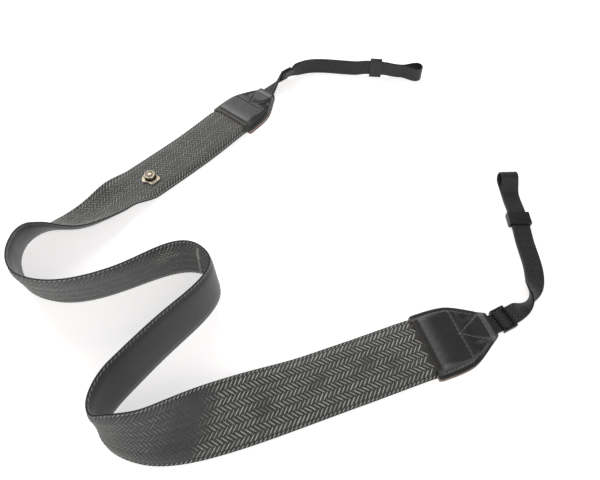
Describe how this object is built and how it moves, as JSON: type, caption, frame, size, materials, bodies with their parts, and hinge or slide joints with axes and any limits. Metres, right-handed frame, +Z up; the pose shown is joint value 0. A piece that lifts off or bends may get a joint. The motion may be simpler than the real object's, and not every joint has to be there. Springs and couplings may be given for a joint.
{
  "type": "coiled camera strap",
  "caption": "Camera neck strap lying in turns: woven band with leather tabs, webbing with sliders, keepers and open lug loops, and a small plain badge.",
  "frame": {"origin": "on the surface that the strap lies on, under the middle of its box", "axes": "+Z up, +X to the right and +Y away from the viewer, as the strap is laid out"},
  "size_m": [0.3504, 0.3262, 0.0381],
  "materials": {
    "herringbone": "grey and black herringbone weave",
    "backing": "smooth matte dark grey",
    "leather": "black grained, satin",
    "webbing": "ribbed black nylon",
    "plastic": "black moulded",
    "brass": "aged, bright at its edges"
  },
  "bodies": {
    "root": {"band_face": "herringbone", "band_backing": "backing", "left_tab_upper": "leather", "left_tab_lower": "leather", "right_tab_upper": "leather", "right_tab_lower": "leather", "left_webbing": "webbing", "right_webbing": "webbing", "left_slider": "plastic", "right_slider": "plastic", "left_keeper": "plastic", "right_keeper": "plastic", "badge_plate": "brass", "badge_boss": "brass"}
  },
  "joints": []
}
